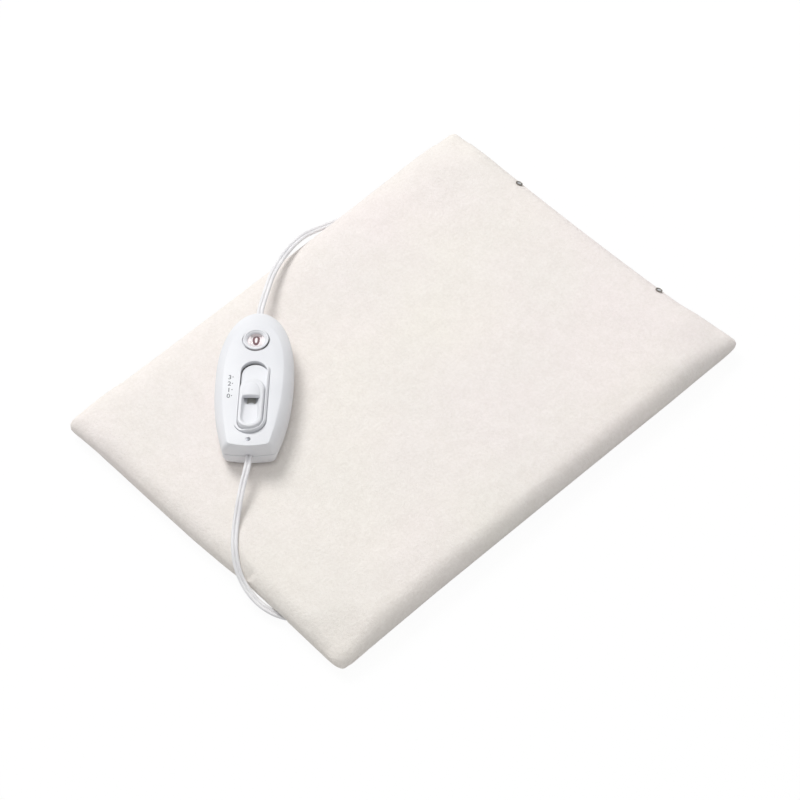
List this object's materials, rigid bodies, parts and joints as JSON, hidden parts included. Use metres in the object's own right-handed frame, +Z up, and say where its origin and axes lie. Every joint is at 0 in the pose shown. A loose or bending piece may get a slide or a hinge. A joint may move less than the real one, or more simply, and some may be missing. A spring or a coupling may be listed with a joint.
{
  "type": "heating pad with controller",
  "caption": "Rectangular fleece heating pad with rolled edges, press studs on its opening, and a slide controller with a number window on its flat lead.",
  "frame": {"origin": "on the floor under the middle of the pad", "axes": "+X along the pad's long side, towards the press studs; +Y along its short side, towards the edge that the mains lead crosses; +Z up"},
  "size_m": [0.4062, 0.305, 0.0551],
  "materials": {
    "fleece": "short soft nap, off-white",
    "wadding": "felted",
    "case": "fine satin moulding, white",
    "inner_plastic": "moulded",
    "cord": "soft satin sheath, pale grey-white",
    "stud_metal": "dark plated",
    "steel": "bright zinc",
    "brass": "pressed strip",
    "window": "clear moulded lens",
    "board": "paper laminate",
    "black_plastic": "moulded",
    "wire_sheath": "silicone sheath"
  },
  "bodies": {
    "root": {"cover_top": "fleece", "cover_bottom": "fleece", "cover_flap": "fleece", "snap_ring_1": "stud_metal", "snap_ring_2": "stud_metal", "snap_socket_1": "stud_metal", "snap_socket_2": "stud_metal", "snap_stud_1": "stud_metal", "snap_stud_2": "stud_metal", "snap_back_1": "stud_metal", "snap_back_2": "stud_metal", "upper_wadding": "wadding", "lower_wadding": "wadding", "wire_carrier": "wadding", "heating_wire": "wire_sheath", "overheat_cutout_1": "black_plastic", "overheat_cutout_2": "black_plastic", "junction_block": "inner_plastic", "pad_lead_grommet": "cord", "upper_housing": "case", "lower_housing": "case", "detent_spring": "steel", "window_bezel": "case", "window_lens": "window", "drum_axle": "steel", "circuit_board": "board", "line_terminal": "black_plastic", "load_terminal": "black_plastic", "fuse": "window", "power_diode": "black_plastic", "mains_cord_clamp": "inner_plastic", "pad_cord_clamp": "inner_plastic", "housing_screw_front": "steel", "housing_screw_rear": "steel", "pad_lead": "cord", "mains_lead": "cord", "mains_lead_coil": "cord", "mains_lead_tail": "cord", "coil_tie": "black_plastic", "plug_boot": "cord", "plug_body": "cord", "plug_pin_1": "steel", "plug_pin_2": "steel"},
    "slider": {"slider_knob": "case", "slider_carriage": "inner_plastic", "contact_bridge": "brass"},
    "drum": {"number_drum": "case"}
  },
  "joints": [
    {"name": "slider_slide", "type": "slide", "parent": "root", "child": "slider", "axis": [0.723, 0.6909, 0], "range_m": [0, 0.01696], "deforming": ["detent_spring"]},
    {"name": "drum_turn", "type": "hinge", "parent": "root", "child": "drum", "pos_m": [-0.06418, 0.08318, 0.0398], "axis": [-0.6909, 0.723, 0], "range_deg": [-270, 0]}
  ],
  "couplings": [
    {"joint": "drum_turn", "follows": "slider_slide", "rad_per_m": -277.78}
  ]
}
